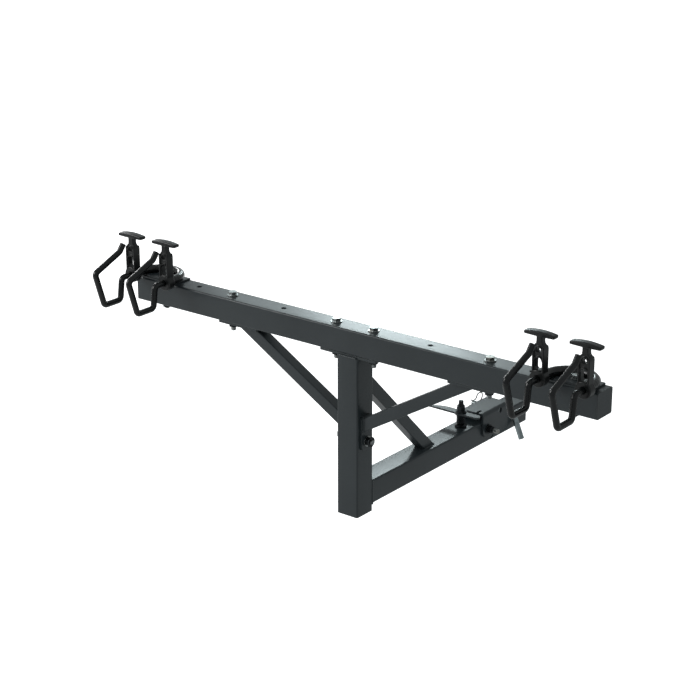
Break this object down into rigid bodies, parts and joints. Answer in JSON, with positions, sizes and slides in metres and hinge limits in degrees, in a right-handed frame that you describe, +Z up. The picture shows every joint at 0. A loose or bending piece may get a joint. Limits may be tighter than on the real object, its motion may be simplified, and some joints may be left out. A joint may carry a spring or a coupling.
{
  "type": "hitch mounted bike rack",
  "caption": "Tubular hitch rack: long square shank with tilt bracket, short post, braced crossbeam, and bent rod hooks in pairs with black rubber T-handle straps.",
  "frame": {"origin": "centre of the hitch pin hole on the shank axis", "axes": "+X to the right along the crossbeam, +Y along the shank toward the vehicle, +Z up"},
  "size_m": [1.158, 0.7543, 0.503],
  "materials": {
    "powder_coat": "semi-gloss charcoal powder coat",
    "rod_coat": "textured black coating",
    "zinc": "bright zinc plate",
    "dark_steel": "black oxide",
    "rubber": "matt moulded rubber",
    "plug": "matt"
  },
  "bodies": {
    "receiver": {"receiver_insert": "powder_coat", "tilt_bracket": "powder_coat", "pivot_bolt": "zinc", "pivot_washers": "dark_steel", "pivot_nut": "dark_steel"},
    "rack": {"shank_tube": "powder_coat", "post_tube": "powder_coat", "post_end_cap": "plug", "diagonal_strut": "powder_coat", "centre_plate": "powder_coat", "crossbeam": "powder_coat", "beam_end_caps": "plug", "brace_left": "powder_coat", "brace_right": "powder_coat", "centre_bolts": "zinc", "centre_nuts": "dark_steel", "brace_bolts": "zinc", "brace_nuts": "dark_steel", "post_cross_bolt": "zinc", "post_cross_washers": "zinc", "post_cross_nut": "dark_steel", "hook_rod_left": "rod_coat", "hook_rod_right": "rod_coat", "hook_hose_left": "rubber", "hook_hose_right": "rubber", "hook_base_plates": "powder_coat", "hook_clamp_plates": "powder_coat", "hook_bolts": "zinc", "hook_nuts": "dark_steel", "latch_stud": "dark_steel", "latch_spring": "dark_steel", "latch_washer": "dark_steel", "latch_nut": "dark_steel"},
    "hitch_pin_body": {"hitch_pin": "zinc"},
    "hitch_clip_body": {"hitch_pin_clip": "zinc"},
    "lock_pin_body": {"lock_pin": "zinc"},
    "lock_clip_body": {"lock_pin_clip": "dark_steel"},
    "lever_body": {"latch_lever": "powder_coat"},
    "strap_left_outer_body": {"strap_left_outer": "rubber"},
    "strap_left_inner_body": {"strap_left_inner": "rubber"},
    "strap_right_inner_body": {"strap_right_inner": "rubber"},
    "strap_right_outer_body": {"strap_right_outer": "rubber"}
  },
  "joints": [
    {"name": "rack_tilt", "type": "hinge", "parent": "receiver", "child": "rack", "pos_m": [0, -0.104, 0.0074], "axis": [1, 0, 0], "range_deg": [0, 45]},
    {"name": "lock_pin_slide", "type": "slide", "parent": "receiver", "child": "lock_pin_body", "axis": [-1, 0, 0], "range_m": [0, 0.08]},
    {"name": "lock_clip_pull", "type": "slide", "parent": "lock_pin_body", "child": "lock_clip_body", "axis": [0, 1, 0], "range_m": [0, 0.035]},
    {"name": "hitch_pin_pull", "type": "slide", "parent": "receiver", "child": "hitch_pin_body", "axis": [1, 0, 0], "range_m": [0, 0.012]},
    {"name": "hitch_clip_pull", "type": "slide", "parent": "hitch_pin_body", "child": "hitch_clip_body", "axis": [0, -1, 0], "range_m": [0, 0.05]},
    {"name": "latch_turn", "type": "hinge", "parent": "rack", "child": "lever_body", "pos_m": [0, -0.166, 0.056], "axis": [0, 0, 1], "range_deg": [0, 90]},
    {"name": "strap_left_outer_swing", "type": "hinge", "parent": "rack", "child": "strap_left_outer_body", "pos_m": [-0.547, -0.585, 0.3665], "axis": [0, -1, 0], "range_deg": [0, 80]},
    {"name": "strap_left_inner_swing", "type": "hinge", "parent": "rack", "child": "strap_left_inner_body", "pos_m": [-0.453, -0.585, 0.3665], "axis": [0, 1, 0], "range_deg": [0, 80]},
    {"name": "strap_right_inner_swing", "type": "hinge", "parent": "rack", "child": "strap_right_inner_body", "pos_m": [0.453, -0.585, 0.3665], "axis": [0, -1, 0], "range_deg": [0, 80]},
    {"name": "strap_right_outer_swing", "type": "hinge", "parent": "rack", "child": "strap_right_outer_body", "pos_m": [0.547, -0.585, 0.3665], "axis": [0, 1, 0], "range_deg": [0, 80]}
  ]
}
